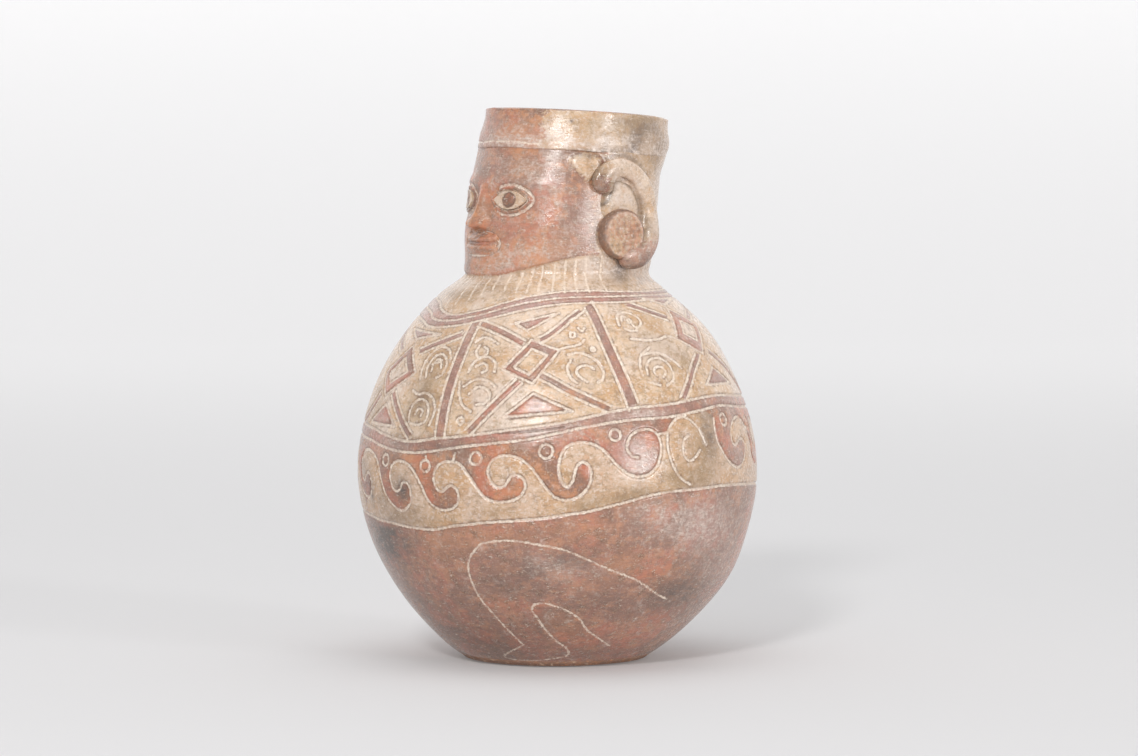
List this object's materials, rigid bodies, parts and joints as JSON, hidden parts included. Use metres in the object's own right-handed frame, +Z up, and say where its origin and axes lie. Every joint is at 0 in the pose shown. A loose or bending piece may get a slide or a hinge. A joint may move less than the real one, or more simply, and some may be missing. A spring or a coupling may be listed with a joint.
{
  "type": "effigy vessel",
  "caption": "Hand-built earthenware jar with a globular body on a flat foot and a wide open neck shaped as a human head, with ears and ear spools.",
  "frame": {"origin": "middle of the flat underside, on the surface the jar stands on", "axes": "+Z up; the face looks along -Y; the figure's left ear is at +X"},
  "size_m": [0.1744, 0.1744, 0.2397],
  "materials": {
    "red_slip": "burnished red-brown slip, semi-gloss",
    "painted_slip": "burnished cream, red and brown slips with incised lines",
    "face_slip": "burnished red slip, worn",
    "cream_slip": "worn cream slip over red-brown clay",
    "brown_clay": "bare red-brown clay, matt"
  },
  "bodies": {
    "root": {"foot_disc": "red_slip", "lower_bowl": "red_slip", "upper_body": "painted_slip", "head_neck": "face_slip", "headband": "cream_slip", "nose": "face_slip", "lips": "face_slip", "left_eyeball": "face_slip", "right_eyeball": "face_slip", "left_ear": "cream_slip", "right_ear": "cream_slip", "left_ear_spool": "brown_clay", "right_ear_spool": "brown_clay"}
  },
  "joints": []
}
